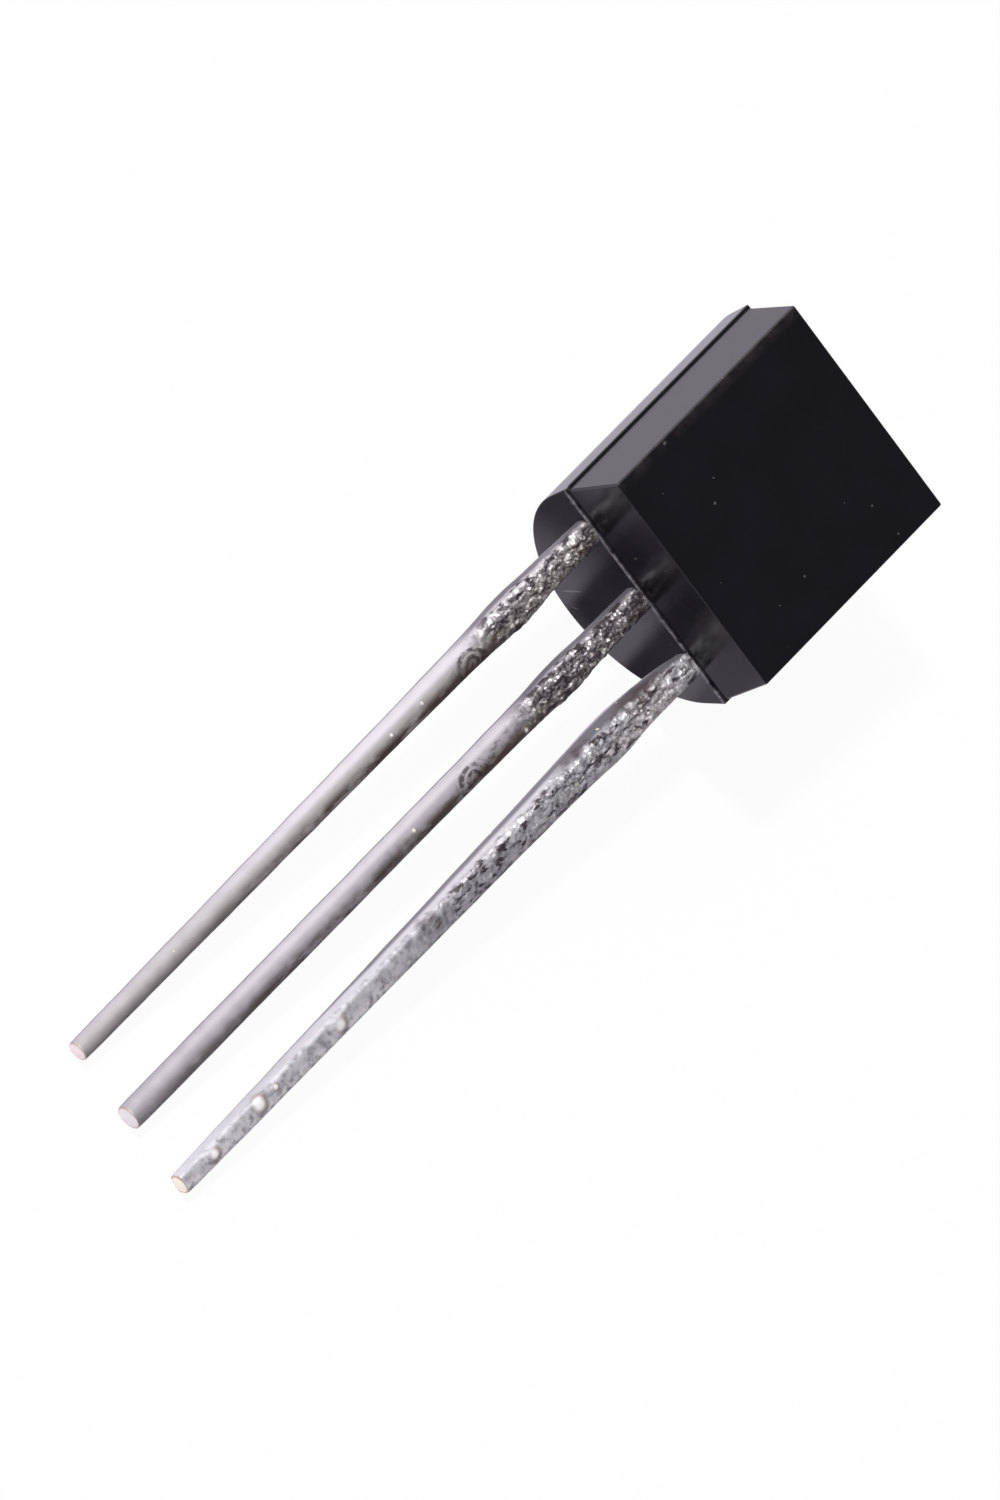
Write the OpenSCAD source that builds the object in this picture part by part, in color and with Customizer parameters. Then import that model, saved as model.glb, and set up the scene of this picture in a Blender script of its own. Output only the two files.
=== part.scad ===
// Three-lead transistor in a small moulded plastic package with one flat face and a round back.
// Each piece is drawn upright: leads down along -Z, flat face toward -Y, the parting plane of the
// mould at Y = 0 and the bottom end of the body at Z = 0. lay_down() then sets the whole part on
// its round back, where it rests on the lower edge of the back and on the tips of the leads.

/* [Moulded body] */
// Width of the body at its parting plane
body_w = 4.26; // [4.2:0.02:4.7]
// Height of the body at its parting plane
body_h = 4.58; // [4.3:0.02:4.7]
// Depth from the parting plane to the flat face
front_depth = 1.24; // [1.1:0.02:1.4]
// Depth from the parting plane to the crest of the round back
back_depth = 2.31; // [2.2:0.01:2.4]
// Draft of the sides in front of the parting plane, in degrees
front_draft = 5; // [2:1:10]
// Draft of the short straight sides behind the parting plane, in degrees
back_draft = 8; // [6:1:12]
// Draft of both ends, in degrees
end_draft = 2; // [1:0.5:4]
// How far the back half stands out past the front half, all round
mould_step = 0.03; // [0.01:0.01:0.06]

/* [Mould marks] */
// Diameter of the ejector pin mark on the round back
ejector_d = 1.5; // [1:0.1:1.6]
// Depth of the ejector pin mark, measured from the crest of the back
ejector_depth = 0.17; // [0.15:0.01:0.25]
// Width of the gate stub on the top end
gate_w = 0.8; // [0.4:0.1:1.2]
// Thickness of the gate stub
gate_t = 0.3; // [0.2:0.05:0.5]
// Height of the gate stub above the top end
gate_h = 0.04; // [0.02:0.01:0.08]

/* [Leads] */
// Distance between the centres of neighbouring leads
lead_pitch = 1.32; // [1.22:0.01:1.32]
// Thickness of the lead frame
lead_t = 0.39; // [0.36:0.01:0.45]
// Width of a lead
lead_w = 0.4; // [0.38:0.01:0.44]
// Length of the leads, from the body to their tips
lead_len = 12.37; // [10:0.1:14.5]
// Width of a lead next to the body
root_w = 0.44; // [0.42:0.01:0.5]
// Length of the wide root, from the body to the cut tie bar
root_len = 1.4; // [1:0.05:1.6]
// Length of the cut tie bar's stubs along the lead
tie_len = 0.9; // [0.6:0.05:1.2]
// How far the tie bar's stub stands out on the right of the root
tie_right = 0.08; // [0.02:0.01:0.1]
// How far the tie bar's stub stands out on the left of the root
tie_left = 0.03; // [0:0.01:0.1]
// Length of the slopes at both ends of the tie bar's stubs
tie_slope = 0.2; // [0.1:0.05:0.3]
// Bevel of the corners at a lead's tip
tip_bevel = 0.05; // [0.02:0.01:0.1]

/* [Lead frame inside the body] */
// Clear gap between the die paddle and its neighbours
frame_gap = 0.25; // [0.2:0.01:0.35]
// Height of the paddle's lower edge above the bottom end of the body
paddle_base = 2.2; // [2:0.05:2.4]
// Height of the die paddle
paddle_h = 1.6; // [1.3:0.05:1.7]
// How far the paddle reaches past the outer side of the collector lead
paddle_over = 0.05; // [0.02:0.01:0.1]
// Width of the emitter's bonding post
post_w = 0.64; // [0.56:0.02:0.7]
// Height of the emitter's bonding post
post_h = 0.7; // [0.5:0.05:1]
// Width of the base lead's head
head_w = 0.9; // [0.7:0.05:1.1]
// Height of the base lead's head
head_h = 0.45; // [0.35:0.05:0.6]
// Diameter of the round notches that lock each lead in the resin
notch_d = 0.2; // [0.14:0.02:0.24]
// Height of the notches above the bottom end of the body
notch_height = 0.75; // [0.5:0.05:0.9]
// Diameter of the resin lock hole in the paddle
lock_hole_d = 0.36; // [0.2:0.02:0.44]

/* [Die and bond wires] */
// Side of the square die
die_side = 0.5; // [0.4:0.02:0.6]
// Thickness of the die
die_t = 0.2; // [0.15:0.01:0.28]
// Thickness of the solder under the die
solder_t = 0.03; // [0.02:0.01:0.05]
// How far the solder reaches past the die on each side
solder_rim = 0.05; // [0.02:0.01:0.08]
// Distance of the bonding pads from the die's centre, across and up
pad_offset = 0.12; // [0.08:0.01:0.14]
// Diameter of a bond wire
wire_d = 0.04; // [0.03:0.005:0.05]
// Diameter of the ball or stitch at each end of a bond wire
bond_d = 0.1; // [0.08:0.01:0.12]
// Thickness of the ball or stitch
bond_t = 0.02; // [0.01:0.005:0.03]
// Rise of a bond wire's loop
loop_rise = 0.35; // [0.25:0.05:0.45]

/* [Hidden] */

// The front half is drafted from its back edge to the flat face
front_w = body_w - 2 * mould_step;
face_w = front_w - 2 * front_depth * tan(front_draft);
front_inset = front_depth * tan(end_draft);
back_inset = back_depth * tan(end_draft);

// The round back is one arc that the drafted sides meet as tangents
back_r = (body_w / 2 * cos(back_draft) - back_depth * sin(back_draft)) / (1 - sin(back_draft));
arc_y = back_depth - back_r;
tangent_x = back_r * cos(back_draft);
tangent_y = arc_y + back_r * sin(back_draft);

// Pieces of the lead frame that stand beside each other
emitter_x = -lead_pitch;
collector_x = lead_pitch;
paddle_left = emitter_x + post_w / 2 + frame_gap;
paddle_right = collector_x + root_w / 2 + paddle_over;
paddle_top = paddle_base + paddle_h;
head_top = paddle_base - frame_gap;
lock_hole_x = collector_x;
lock_hole_z = paddle_base + paddle_h / 2;

// The die sits on the front of the paddle, between the paddle's left edge and the lock hole
die_x = (paddle_left + lock_hole_x - lock_hole_d / 2) / 2;
die_z = paddle_base + paddle_h / 2;
die_front = -solder_t - die_t;

// Where the bond wires leave the die and where they land, each as [x, y, z]
emitter_pad = [die_x - pad_offset, die_front, die_z + pad_offset];
emitter_landing = [emitter_x, 0, paddle_base + post_h / 2];
base_pad = [die_x + pad_offset, die_front, die_z - pad_offset];
base_landing = [head_w / 4, 0, head_top - head_h / 2];
wire_sides = 8;
wire_rings = 14;

// Pose of the part when it lies on its round back
lay_angle = atan((back_depth - lead_t) / (lead_len + back_inset));
lay_lift = back_depth * cos(lay_angle) - back_inset * sin(lay_angle);
far_end = back_depth * sin(lay_angle) + (body_h - back_inset) * cos(lay_angle);
tip_end = -lead_len * cos(lay_angle);

// Turns an upright piece to its resting pose, with the middle of the part's base at the origin
module lay_down() {
    translate([0, -(far_end + tip_end) / 2, lay_lift])
        rotate([lay_angle - 90, 0, 0])
            children();
}

// A piece stamped from the lead frame: an X-Z outline with its front on the parting plane
module stamped() {
    translate([0, lead_t, 0])
        rotate([90, 0, 0])
            linear_extrude(lead_t)
                children();
}

// A Y-Z outline drawn out across the full width of the body
module across_body() {
    translate([-body_w / 2, 0, 0])
        rotate([90, 0, 90])
            linear_extrude(body_w)
                children();
}

// Front half of the moulding: drafted sides, drafted ends and the flat face
module front_half() {
    intersection() {
        linear_extrude(body_h)
            polygon([[-front_w / 2, 0], [front_w / 2, 0], [face_w / 2, -front_depth], [-face_w / 2, -front_depth]]);
        across_body()
            polygon([[0, mould_step], [0, body_h - mould_step],
                     [-front_depth, body_h - mould_step - front_inset],
                     [-front_depth, mould_step + front_inset]]);
    }
}

// Outline of the back half: short drafted sides that run into one round arc
module back_outline() {
    polygon([[-body_w / 2, 0], [body_w / 2, 0], [tangent_x, tangent_y], [-tangent_x, tangent_y]]);
    intersection() {
        translate([0, arc_y])
            circle(back_r, $fn = 96);
        translate([-body_w / 2, tangent_y])
            square([body_w, back_depth]);
    }
}

// Back half of the moulding: the round outline between drafted ends
module back_half() {
    intersection() {
        linear_extrude(body_h)
            back_outline();
        across_body()
            polygon([[0, 0], [back_depth, back_inset], [back_depth, body_h - back_inset], [0, body_h]]);
    }
}

// Flat round mark that the ejector pin leaves in the crest of the back
module ejector_mark() {
    translate([0, back_depth - ejector_depth, body_h / 2])
        rotate([-90, 0, 0])
            cylinder(h = 2 * ejector_depth, d = ejector_d, $fn = 64);
}

// Broken stub of the gate through which the resin entered
module gate_stub() {
    translate([-gate_w / 2, 0, body_h / 2])
        cube([gate_w, gate_t, body_h / 2 + gate_h]);
}

// Outline of a lead outside the body: wide root, stubs of the cut tie bar, slim pin, bevelled tip
module pin_outline() {
    tie_end = root_len + tie_len;
    right = root_w / 2 + tie_right;
    left = root_w / 2 + tie_left;
    polygon([
        [-root_w / 2, 0], [-root_w / 2, -root_len], [-left, -root_len - tie_slope],
        [-left, -tie_end], [-lead_w / 2, -tie_end - tie_slope],
        [-lead_w / 2, tip_bevel - lead_len], [tip_bevel - lead_w / 2, -lead_len],
        [lead_w / 2 - tip_bevel, -lead_len], [lead_w / 2, tip_bevel - lead_len],
        [lead_w / 2, -tie_end - tie_slope], [right, -tie_end],
        [right, -root_len - tie_slope], [root_w / 2, -root_len], [root_w / 2, 0]
    ]);
}

// Buried neck of a lead, with a round notch on each side that the resin fills
module neck_outline(height) {
    difference() {
        translate([-root_w / 2, 0])
            square([root_w, height]);
        for (side = [-1, 1])
            translate([side * root_w / 2, notch_height])
                circle(d = notch_d, $fn = 32);
    }
}

// A lead at its own place across the body: the pin below and the neck above the body's bottom end
module lead_outline(x, neck_height) {
    translate([x, 0]) {
        pin_outline();
        neck_outline(neck_height);
    }
}

module emitter_form() {
    stamped() {
        lead_outline(emitter_x, paddle_base);
        translate([emitter_x - post_w / 2, paddle_base])
            square([post_w, post_h]);
    }
}

module base_form() {
    stamped() {
        lead_outline(0, head_top - head_h);
        translate([-head_w / 2, head_top - head_h])
            square([head_w, head_h]);
    }
}

module collector_form() {
    stamped() {
        lead_outline(collector_x, paddle_base);
        difference() {
            translate([paddle_left, paddle_base])
                square([paddle_right - paddle_left, paddle_h]);
            translate([lock_hole_x, lock_hole_z])
                circle(d = lock_hole_d, $fn = 32);
        }
    }
}

// A square slab of the given side and thickness, centred on the die, with its back at the given depth
module die_slab(side, thickness, back) {
    translate([die_x - side / 2, back - thickness, die_z - side / 2])
        cube([side, thickness, side]);
}

module solder_form() {
    die_slab(die_side + 2 * solder_rim, solder_t, 0);
}

module die_form() {
    die_slab(die_side, die_t, -solder_t);
}

// Share of the way across that a wire has covered at a step of its arch, and its height there
function arch_turn(step) = 180 * step / wire_rings;
function arch_share(turn) = (1 - cos(turn)) / 2;
function arch_centre(from, to, turn) = from + (to - from) * arch_share(turn) - [0, loop_rise * sin(turn), 0];

// Direction of the wire at a turn of its arch
function arch_heading(from, to, turn) =
    let (slope = (to - from) * sin(turn) / 2 - [0, loop_rise * cos(turn), 0]) slope / norm(slope);

// Horizontal direction square to the plane that the arch stands in
function arch_side(from, to) =
    let (run = [to[2] - from[2], 0, from[0] - to[0]]) run / norm(run);

// One ring of points round the wire
function arch_ring(from, to, turn) =
    let (side = arch_side(from, to), up = cross(side, arch_heading(from, to, turn)))
    [for (i = [0:wire_sides - 1])
        arch_centre(from, to, turn)
            + wire_d / 2 * (cos(360 * i / wire_sides) * side + sin(360 * i / wire_sides) * up)];

// Wire that arches from one point to another and meets both surfaces squarely
module arched_wire(from, to) {
    last = wire_rings * wire_sides;
    points = [for (step = [0:wire_rings]) each arch_ring(from, to, arch_turn(step))];
    walls = [for (step = [0:wire_rings - 1], i = [0:wire_sides - 1])
        let (a = step * wire_sides + i,
             b = step * wire_sides + (i + 1) % wire_sides)
        each [[a, b, b + wire_sides], [a, b + wire_sides, a + wire_sides]]];
    first_cap = [[for (i = [wire_sides - 1:-1:0]) i]];
    last_cap = [[for (i = [0:wire_sides - 1]) last + i]];
    polyhedron(points, concat(walls, first_cap, last_cap));
}

// Flattened ball or stitch where a wire is bonded to a surface that faces the flat face
module bond(place) {
    translate(place)
        rotate([90, 0, 0])
            cylinder(h = bond_t, d = bond_d, $fn = 8);
}

// A bonded wire: a ball on the die, the arch and a stitch on the lead frame
module wire_form(pad, landing) {
    lift = [0, -bond_t, 0];
    bond(pad);
    arched_wire(pad + lift, landing + lift);
    bond(landing);
}

module moulded_body() {
    color("#1c1b1f")
        lay_down()
            difference() {
                union() {
                    front_half();
                    back_half();
                    gate_stub();
                }
                ejector_mark();
                emitter_form();
                base_form();
                collector_form();
                solder_form();
                die_form();
                wire_form(emitter_pad, emitter_landing);
                wire_form(base_pad, base_landing);
            }
}

module emitter_lead() {
    color("#b9b6bd")
        lay_down()
            emitter_form();
}

module base_lead() {
    color("#b9b6bd")
        lay_down()
            base_form();
}

module collector_lead() {
    color("#b9b6bd")
        lay_down()
            collector_form();
}

module die_attach() {
    color("#8f8f94")
        lay_down()
            solder_form();
}

module silicon_die() {
    color("#4b4f5c")
        lay_down()
            die_form();
}

module emitter_wire() {
    color("gold")
        lay_down()
            wire_form(emitter_pad, emitter_landing);
}

module base_wire() {
    color("gold")
        lay_down()
            wire_form(base_pad, base_landing);
}

moulded_body();
emitter_lead();
base_lead();
collector_lead();
die_attach();
silicon_die();
emitter_wire();
base_wire();
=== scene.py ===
import math
import bmesh
import bpy
from mathutils import Matrix, Vector


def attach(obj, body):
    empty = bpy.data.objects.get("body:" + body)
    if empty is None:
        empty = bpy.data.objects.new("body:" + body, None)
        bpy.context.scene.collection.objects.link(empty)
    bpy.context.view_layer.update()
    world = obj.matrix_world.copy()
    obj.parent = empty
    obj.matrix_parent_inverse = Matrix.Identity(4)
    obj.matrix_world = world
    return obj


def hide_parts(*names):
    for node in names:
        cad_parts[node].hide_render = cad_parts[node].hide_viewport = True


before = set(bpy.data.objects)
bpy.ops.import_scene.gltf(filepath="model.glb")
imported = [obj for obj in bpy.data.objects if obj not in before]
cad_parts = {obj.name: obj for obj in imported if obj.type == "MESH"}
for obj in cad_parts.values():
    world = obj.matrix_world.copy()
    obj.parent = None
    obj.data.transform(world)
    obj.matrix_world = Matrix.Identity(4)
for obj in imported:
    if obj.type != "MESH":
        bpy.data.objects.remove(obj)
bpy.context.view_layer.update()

bpy.context.scene.view_settings.view_transform = "Standard"

# Pieces are modelled upright in millimetres and laid down at the end:
# leads point down -Z, the flat face looks toward -Y, the parting plane of the mould is Y = 0
millimetre = 0.001
slack = 0.001                   # mm, places that differ by less count as one
upright = {
    "backDepth": 2.31,          # parting plane to the crest of the round back
    "bodyHeight": 4.58,
    "endDraft": 2,              # degrees
    "leadLength": 12.37,        # body to tip
    "leadThick": 0.39,          # of the stamped sheet, without the tin
    "pitch": 1.32,
}
backInset = upright["backDepth"] * math.tan(math.radians(upright["endDraft"]))
layAngle = math.atan((upright["backDepth"] - upright["leadThick"]) / (upright["leadLength"] + backInset))
farEnd = (upright["backDepth"] * math.sin(layAngle)
          + (upright["bodyHeight"] - backInset) * math.cos(layAngle))
tipEnd = -upright["leadLength"] * math.cos(layAngle)
layLift = upright["backDepth"] * math.cos(layAngle) - backInset * math.sin(layAngle)
layTurn = Matrix.Rotation(layAngle - math.pi / 2, 4, "X")
layShift = Matrix.Translation((0, -(farEnd + tipEnd) / 2, layLift))
layDownMatrix = Matrix.Scale(millimetre, 4) @ layShift @ layTurn


def deselectAll():
    if bpy.context.object and bpy.context.object.mode != "OBJECT":
        bpy.ops.object.mode_set(mode="OBJECT")
    bpy.ops.object.select_all(action="DESELECT")


def activate(piece):
    deselectAll()
    piece.select_set(True)
    bpy.context.view_layer.objects.active = piece


def applyPlace(piece):
    activate(piece)
    bpy.ops.object.transform_apply(location=True, rotation=True, scale=True)


def addBox(name, low, high):
    deselectAll()
    centre = [(a + b) / 2 for a, b in zip(low, high)]
    bpy.ops.mesh.primitive_cube_add(size=1, location=centre)
    piece = bpy.context.object
    piece.name = name
    piece.scale = [b - a for a, b in zip(low, high)]
    applyPlace(piece)
    return piece


alongY = (math.pi / 2, 0, 0)    # turns a standing rod to lie front to back


def addRod(name, radius, depth, centre, turn=(0, 0, 0), sides=64):
    deselectAll()
    bpy.ops.mesh.primitive_cylinder_add(vertices=sides, radius=radius, depth=depth, location=centre,
                                        rotation=turn)
    piece = bpy.context.object
    piece.name = name
    applyPlace(piece)
    return piece


# Selects in edit mode what the test accepts: a face by centre and normal, an edge by its two ends
def pick(piece, kind, wanted):
    if bpy.context.object is not piece or piece.mode != "EDIT":
        activate(piece)
        bpy.ops.object.mode_set(mode="EDIT")
    bpy.ops.mesh.select_mode(type=kind)
    bpy.ops.mesh.select_all(action="DESELECT")
    shape = bmesh.from_edit_mesh(piece.data)
    if kind == "FACE":
        chosen = [f for f in shape.faces if wanted(f.calc_center_median(), f.normal)]
    elif kind == "EDGE":
        chosen = [e for e in shape.edges if wanted(e.verts[0].co, e.verts[1].co)]
    else:
        chosen = [v for v in shape.verts if wanted(v.co)]
    for part in chosen:
        part.select_set(True)
    bmesh.update_edit_mesh(piece.data)
    return len(chosen)


def bisectAt(place, normal, **sides):
    bpy.ops.mesh.select_all(action="SELECT")
    bpy.ops.mesh.bisect(plane_co=place, plane_no=normal, use_fill=True, **sides)


# Halves the edges round the pin until each is shorter than the step
def refineAround(piece, step):
    while pick(piece, "EDGE", lambda a, b: abs(a.z - b.z) < slack / 2 and (a - b).length > step):
        bpy.ops.mesh.subdivide(number_cuts=1)


# Halves the edges along the pin between two heights until each is shorter than the step
def refineAlong(piece, step, low, high):
    between = lambda a, b: min(a.z, b.z) > low and max(a.z, b.z) < high
    while pick(piece, "EDGE", lambda a, b: abs(a.z - b.z) > step and between(a, b)):
        bpy.ops.mesh.subdivide(number_cuts=1)


def cleanMesh(piece, gap=0.0002):
    activate(piece)
    bpy.ops.object.mode_set(mode="EDIT")
    bpy.ops.mesh.select_all(action="SELECT")
    bpy.ops.mesh.remove_doubles(threshold=gap)
    bpy.ops.mesh.normals_make_consistent(inside=False)
    bpy.ops.object.mode_set(mode="OBJECT")


def combine(piece, other, operation):
    cleanMesh(piece)
    activate(piece)
    step = piece.modifiers.new(operation, "BOOLEAN")
    step.operation = operation
    step.solver = "MANIFOLD"
    step.object = other
    bpy.ops.object.modifier_apply(modifier=step.name)
    bpy.data.objects.remove(other)


def applyModifiers(piece):
    activate(piece)
    for step in list(piece.modifiers):
        bpy.ops.object.modifier_apply(modifier=step.name)


# Lays a finished piece down; weighted normals keep its wide faces flat beside their rounded edges
def layDown(piece, smoothAngle):
    cleanMesh(piece)
    bpy.ops.object.shade_smooth_by_angle(angle=math.radians(smoothAngle))
    level = piece.modifiers.new("level", "WEIGHTED_NORMAL")
    level.keep_sharp = True
    applyModifiers(piece)
    piece.matrix_world = layDownMatrix
    applyPlace(piece)


def linearColour(hexCode):
    parts = [int(hexCode[i:i + 2], 16) / 255 for i in (1, 3, 5)]
    return tuple(p / 12.92 if p <= 0.04045 else ((p + 0.055) / 1.055) ** 2.4 for p in parts) + (1.0,)


def newMaterial(name):
    material = bpy.data.materials.new(name)
    material.use_nodes = True
    material.node_tree.nodes.clear()
    return material


# Adds a node to a material or world: an input takes a value, a hex colour or another node's output
def addNode(owner, kind, inputs=None, **settings):
    node = owner.node_tree.nodes.new(kind)
    for key, value in settings.items():
        setattr(node, key, value)
    for key, value in (inputs or {}).items():
        if isinstance(value, bpy.types.NodeSocket):
            owner.node_tree.links.new(value, node.inputs[key])
        elif isinstance(value, str):
            node.inputs[key].default_value = linearColour(value)
        else:
            node.inputs[key].default_value = value
    return node.outputs


cameraView = {
    "azimuth": -24.62,          # degrees round the object, 0 is straight from the lead tips
    "elevation": 49.59,
    "roll": 72.17,
    "distance": 250,            # mm
    "aim": (0.503, 1.121, 0.443),
    "lens": 393.0,
    "sensor": 36,
    "clip": (0.01, 20),         # metres
}


def skyDirection(azimuth, elevation):
    a, e = math.radians(azimuth), math.radians(elevation)
    return Vector((math.sin(a) * math.cos(e), -math.cos(a) * math.cos(e), math.sin(e)))


def makeCamera():
    data = bpy.data.cameras.new("camera")
    data.lens = cameraView["lens"]
    data.sensor_width = cameraView["sensor"]
    data.clip_start, data.clip_end = cameraView["clip"]
    item = bpy.data.objects.new("camera", data)
    bpy.context.scene.collection.objects.link(item)
    back = skyDirection(cameraView["azimuth"], cameraView["elevation"])
    level = Vector((0, 0, 1)).cross(back).normalized()
    upward = back.cross(level)
    facing = Matrix((level, upward, back)).transposed().to_4x4()
    roll = Matrix.Rotation(math.radians(cameraView["roll"]), 4, "Z")
    place = (Vector(cameraView["aim"]) + back * cameraView["distance"]) * millimetre
    item.matrix_world = Matrix.Translation(place) @ facing @ roll
    bpy.context.scene.camera = item


makeCamera()
print("camera placed")

studio = {
    "floorSize": 3.0,           # metres
    "floorPaper": "#f2f2f2",
    "floorGlow": 0.955,         # share of plain white that the camera sees over the lit paper
    "mirrorTint": "#f3edfb",    # the paper as the object mirrors it: plain behind the leads,
    "mirrorShade": "#6b6771",   # and shaded under them
    "shadeSlant": (0.4, 1, 0),
    "shadeMiddle": 2.6,         # mm along the slant
    "shadeReach": (0.3, 1.15),  # mm to each side, from shade to lit paper
    "behindRange": (3.9, 4.6),  # mm along Y, from lit paper to plain tint
    "behindShare": (0.03, 0.85),
    "besideRange": (1.9, 2.3),  # mm along X, the same beside the leads
    "besideShare": 0.45,
    "tentTint": "#f8f5fc",
    "tentStrength": 0.22,
    "wallAzimuth": 235,         # the bright side of the light tent
    "wallElevation": 15,
    "wallStrength": 0.9,
    "wallFade": (0.1, 0.8),     # cosines of the angles between which it grows bright
    "cards": [(128, 48, 0.52, 0.80), (20, 50, 0.78, 0.93)],     # azimuth, elevation, cosines of its soft edge
    "cardStrength": 0.08,
    "softboxDistance": 0.6,     # metres
    "softboxes": [              # name, azimuth, elevation, width and height in degrees, radiance, colour
        ("key softbox", 290, 50.4, 4, 4, 620.0, "#fffdff"),
        ("side softbox", 235, 34, 50, 30, 0.6, "#fbf8ff")],
}


def inMetres(lengths):
    return [length * millimetre for length in lengths]


# The paper's colour as the object mirrors it: a band of shade slants across it under the leads
def mirroredPaper(paper, spot):
    slant = addNode(paper, "ShaderNodeVectorMath", {0: spot, 1: studio["shadeSlant"]},
                    operation="DOT_PRODUCT")["Value"]
    slant = addNode(paper, "ShaderNodeMath", {0: slant, 1: studio["shadeMiddle"] * millimetre},
                    operation="SUBTRACT")[0]
    slant = addNode(paper, "ShaderNodeMath", {0: slant}, operation="ABSOLUTE")[0]
    low, high = inMetres(studio["shadeReach"])
    lighter = addNode(paper, "ShaderNodeMapRange", {"Value": slant, "From Min": low, "From Max": high})[0]
    return addNode(paper, "ShaderNodeMix", {0: lighter, 6: studio["mirrorShade"], 7: studio["mirrorTint"]},
                   data_type="RGBA")[2]


# How far the mirrored paper turns to its plain tint, behind the leads and beside them
def mirroredShare(paper, spot):
    along = addNode(paper, "ShaderNodeSeparateXYZ", {0: spot})
    low, high = inMetres(studio["behindRange"])
    least, most = studio["behindShare"]
    behind = {"Value": along["Y"], "From Min": low, "From Max": high, "To Min": least, "To Max": most}
    behind = addNode(paper, "ShaderNodeMapRange", behind)[0]
    low, high = inMetres(studio["besideRange"])
    beside = {"Value": along["X"], "From Min": low, "From Max": high, "To Max": studio["besideShare"]}
    beside = addNode(paper, "ShaderNodeMapRange", beside)[0]
    return addNode(paper, "ShaderNodeMath", {0: behind, 1: beside}, operation="MAXIMUM")[0]


# Paper that the camera sees as white, with the object's shadow on it
def makeFloor():
    deselectAll()
    bpy.ops.mesh.primitive_plane_add(size=studio["floorSize"])
    floor = bpy.context.object
    floor.name = "floor"
    paper = newMaterial("white paper sweep")
    ray = addNode(paper, "ShaderNodeLightPath")
    inMirror = ray["Is Glossy Ray"]
    spot = addNode(paper, "ShaderNodeTexCoord")["Object"]
    tone = addNode(paper, "ShaderNodeMix",
                   {0: inMirror, 6: studio["floorPaper"], 7: mirroredPaper(paper, spot)}, data_type="RGBA")[2]
    matte = addNode(paper, "ShaderNodeBsdfDiffuse", {"Color": tone})
    glow = addNode(paper, "ShaderNodeMix", {0: inMirror, 6: "#ffffff", 7: studio["mirrorTint"]},
                   data_type="RGBA")[2]
    plain = addNode(paper, "ShaderNodeEmission", {"Color": glow, "Strength": 1.0})
    mirrored = addNode(paper, "ShaderNodeMath", {0: mirroredShare(paper, spot), 1: inMirror},
                       operation="MULTIPLY")[0]
    seen = addNode(paper, "ShaderNodeMath", {0: ray["Is Camera Ray"], 1: ray["Is Transmission Ray"]})[0]
    share = addNode(paper, "ShaderNodeMath", {0: seen, 1: studio["floorGlow"], 2: mirrored},
                    operation="MULTIPLY_ADD", use_clamp=True)[0]
    surface = addNode(paper, "ShaderNodeMixShader", {"Fac": share, 1: matte[0], 2: plain[0]})
    addNode(paper, "ShaderNodeOutputMaterial", {"Surface": surface[0]})
    floor.data.materials.append(paper)


# White tent, brighter low down on one side, with a black card on the other and one beside the camera
def makeWorld():
    world = bpy.data.worlds.new("light tent")
    bpy.context.scene.world = world
    world.use_nodes = True
    world.node_tree.nodes.clear()
    toward = addNode(world, "ShaderNodeTexCoord")["Generated"]
    wall = skyDirection(studio["wallAzimuth"], studio["wallElevation"])
    toWall = addNode(world, "ShaderNodeVectorMath", {0: toward, 1: wall}, operation="DOT_PRODUCT")["Value"]
    low, high = studio["wallFade"]
    strength = addNode(world, "ShaderNodeMapRange",
                       {"Value": toWall, "From Min": low, "From Max": high, "To Min": studio["tentStrength"],
                        "To Max": studio["wallStrength"]}, interpolation_type="SMOOTHSTEP")[0]
    for azimuth, elevation, outer, inner in studio["cards"]:
        toCard = addNode(world, "ShaderNodeVectorMath", {0: toward, 1: skyDirection(azimuth, elevation)},
                         operation="DOT_PRODUCT")["Value"]
        hung = addNode(world, "ShaderNodeMapRange", {"Value": toCard, "From Min": outer, "From Max": inner},
                       interpolation_type="SMOOTHSTEP")[0]
        strength = addNode(world, "ShaderNodeMix", {0: hung, 2: strength, 3: studio["cardStrength"]})[0]
    tent = addNode(world, "ShaderNodeBackground", {"Color": studio["tentTint"], "Strength": strength})
    white = addNode(world, "ShaderNodeBackground", {"Color": "#ffffff", "Strength": 1.0})
    ray = addNode(world, "ShaderNodeLightPath")
    sky = addNode(world, "ShaderNodeMixShader", {"Fac": ray["Is Camera Ray"], 1: tent[0], 2: white[0]})
    addNode(world, "ShaderNodeOutputWorld", {"Surface": sky[0]})


# A softbox on the sky dome: its size is an angle seen from the object, its level a radiance, 1 is white
def makeSoftbox(name, azimuth, elevation, wide, high, level, hexCode):
    distance = studio["softboxDistance"]
    data = bpy.data.lights.new(name, "AREA")
    data.shape = "RECTANGLE"
    data.size = 2 * distance * math.tan(math.radians(wide / 2))
    data.size_y = 2 * distance * math.tan(math.radians(high / 2))
    data.energy = level * math.pi * data.size * data.size_y
    data.color = linearColour(hexCode)[:3]
    lamp = bpy.data.objects.new(name, data)
    bpy.context.scene.collection.objects.link(lamp)
    back = skyDirection(azimuth, elevation)
    lamp.location = back * distance
    lamp.rotation_euler = back.to_track_quat("Z", "Y").to_euler()


makeFloor()
makeWorld()
for softbox in studio["softboxes"]:
    makeSoftbox(*softbox)
print("studio ready")

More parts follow.
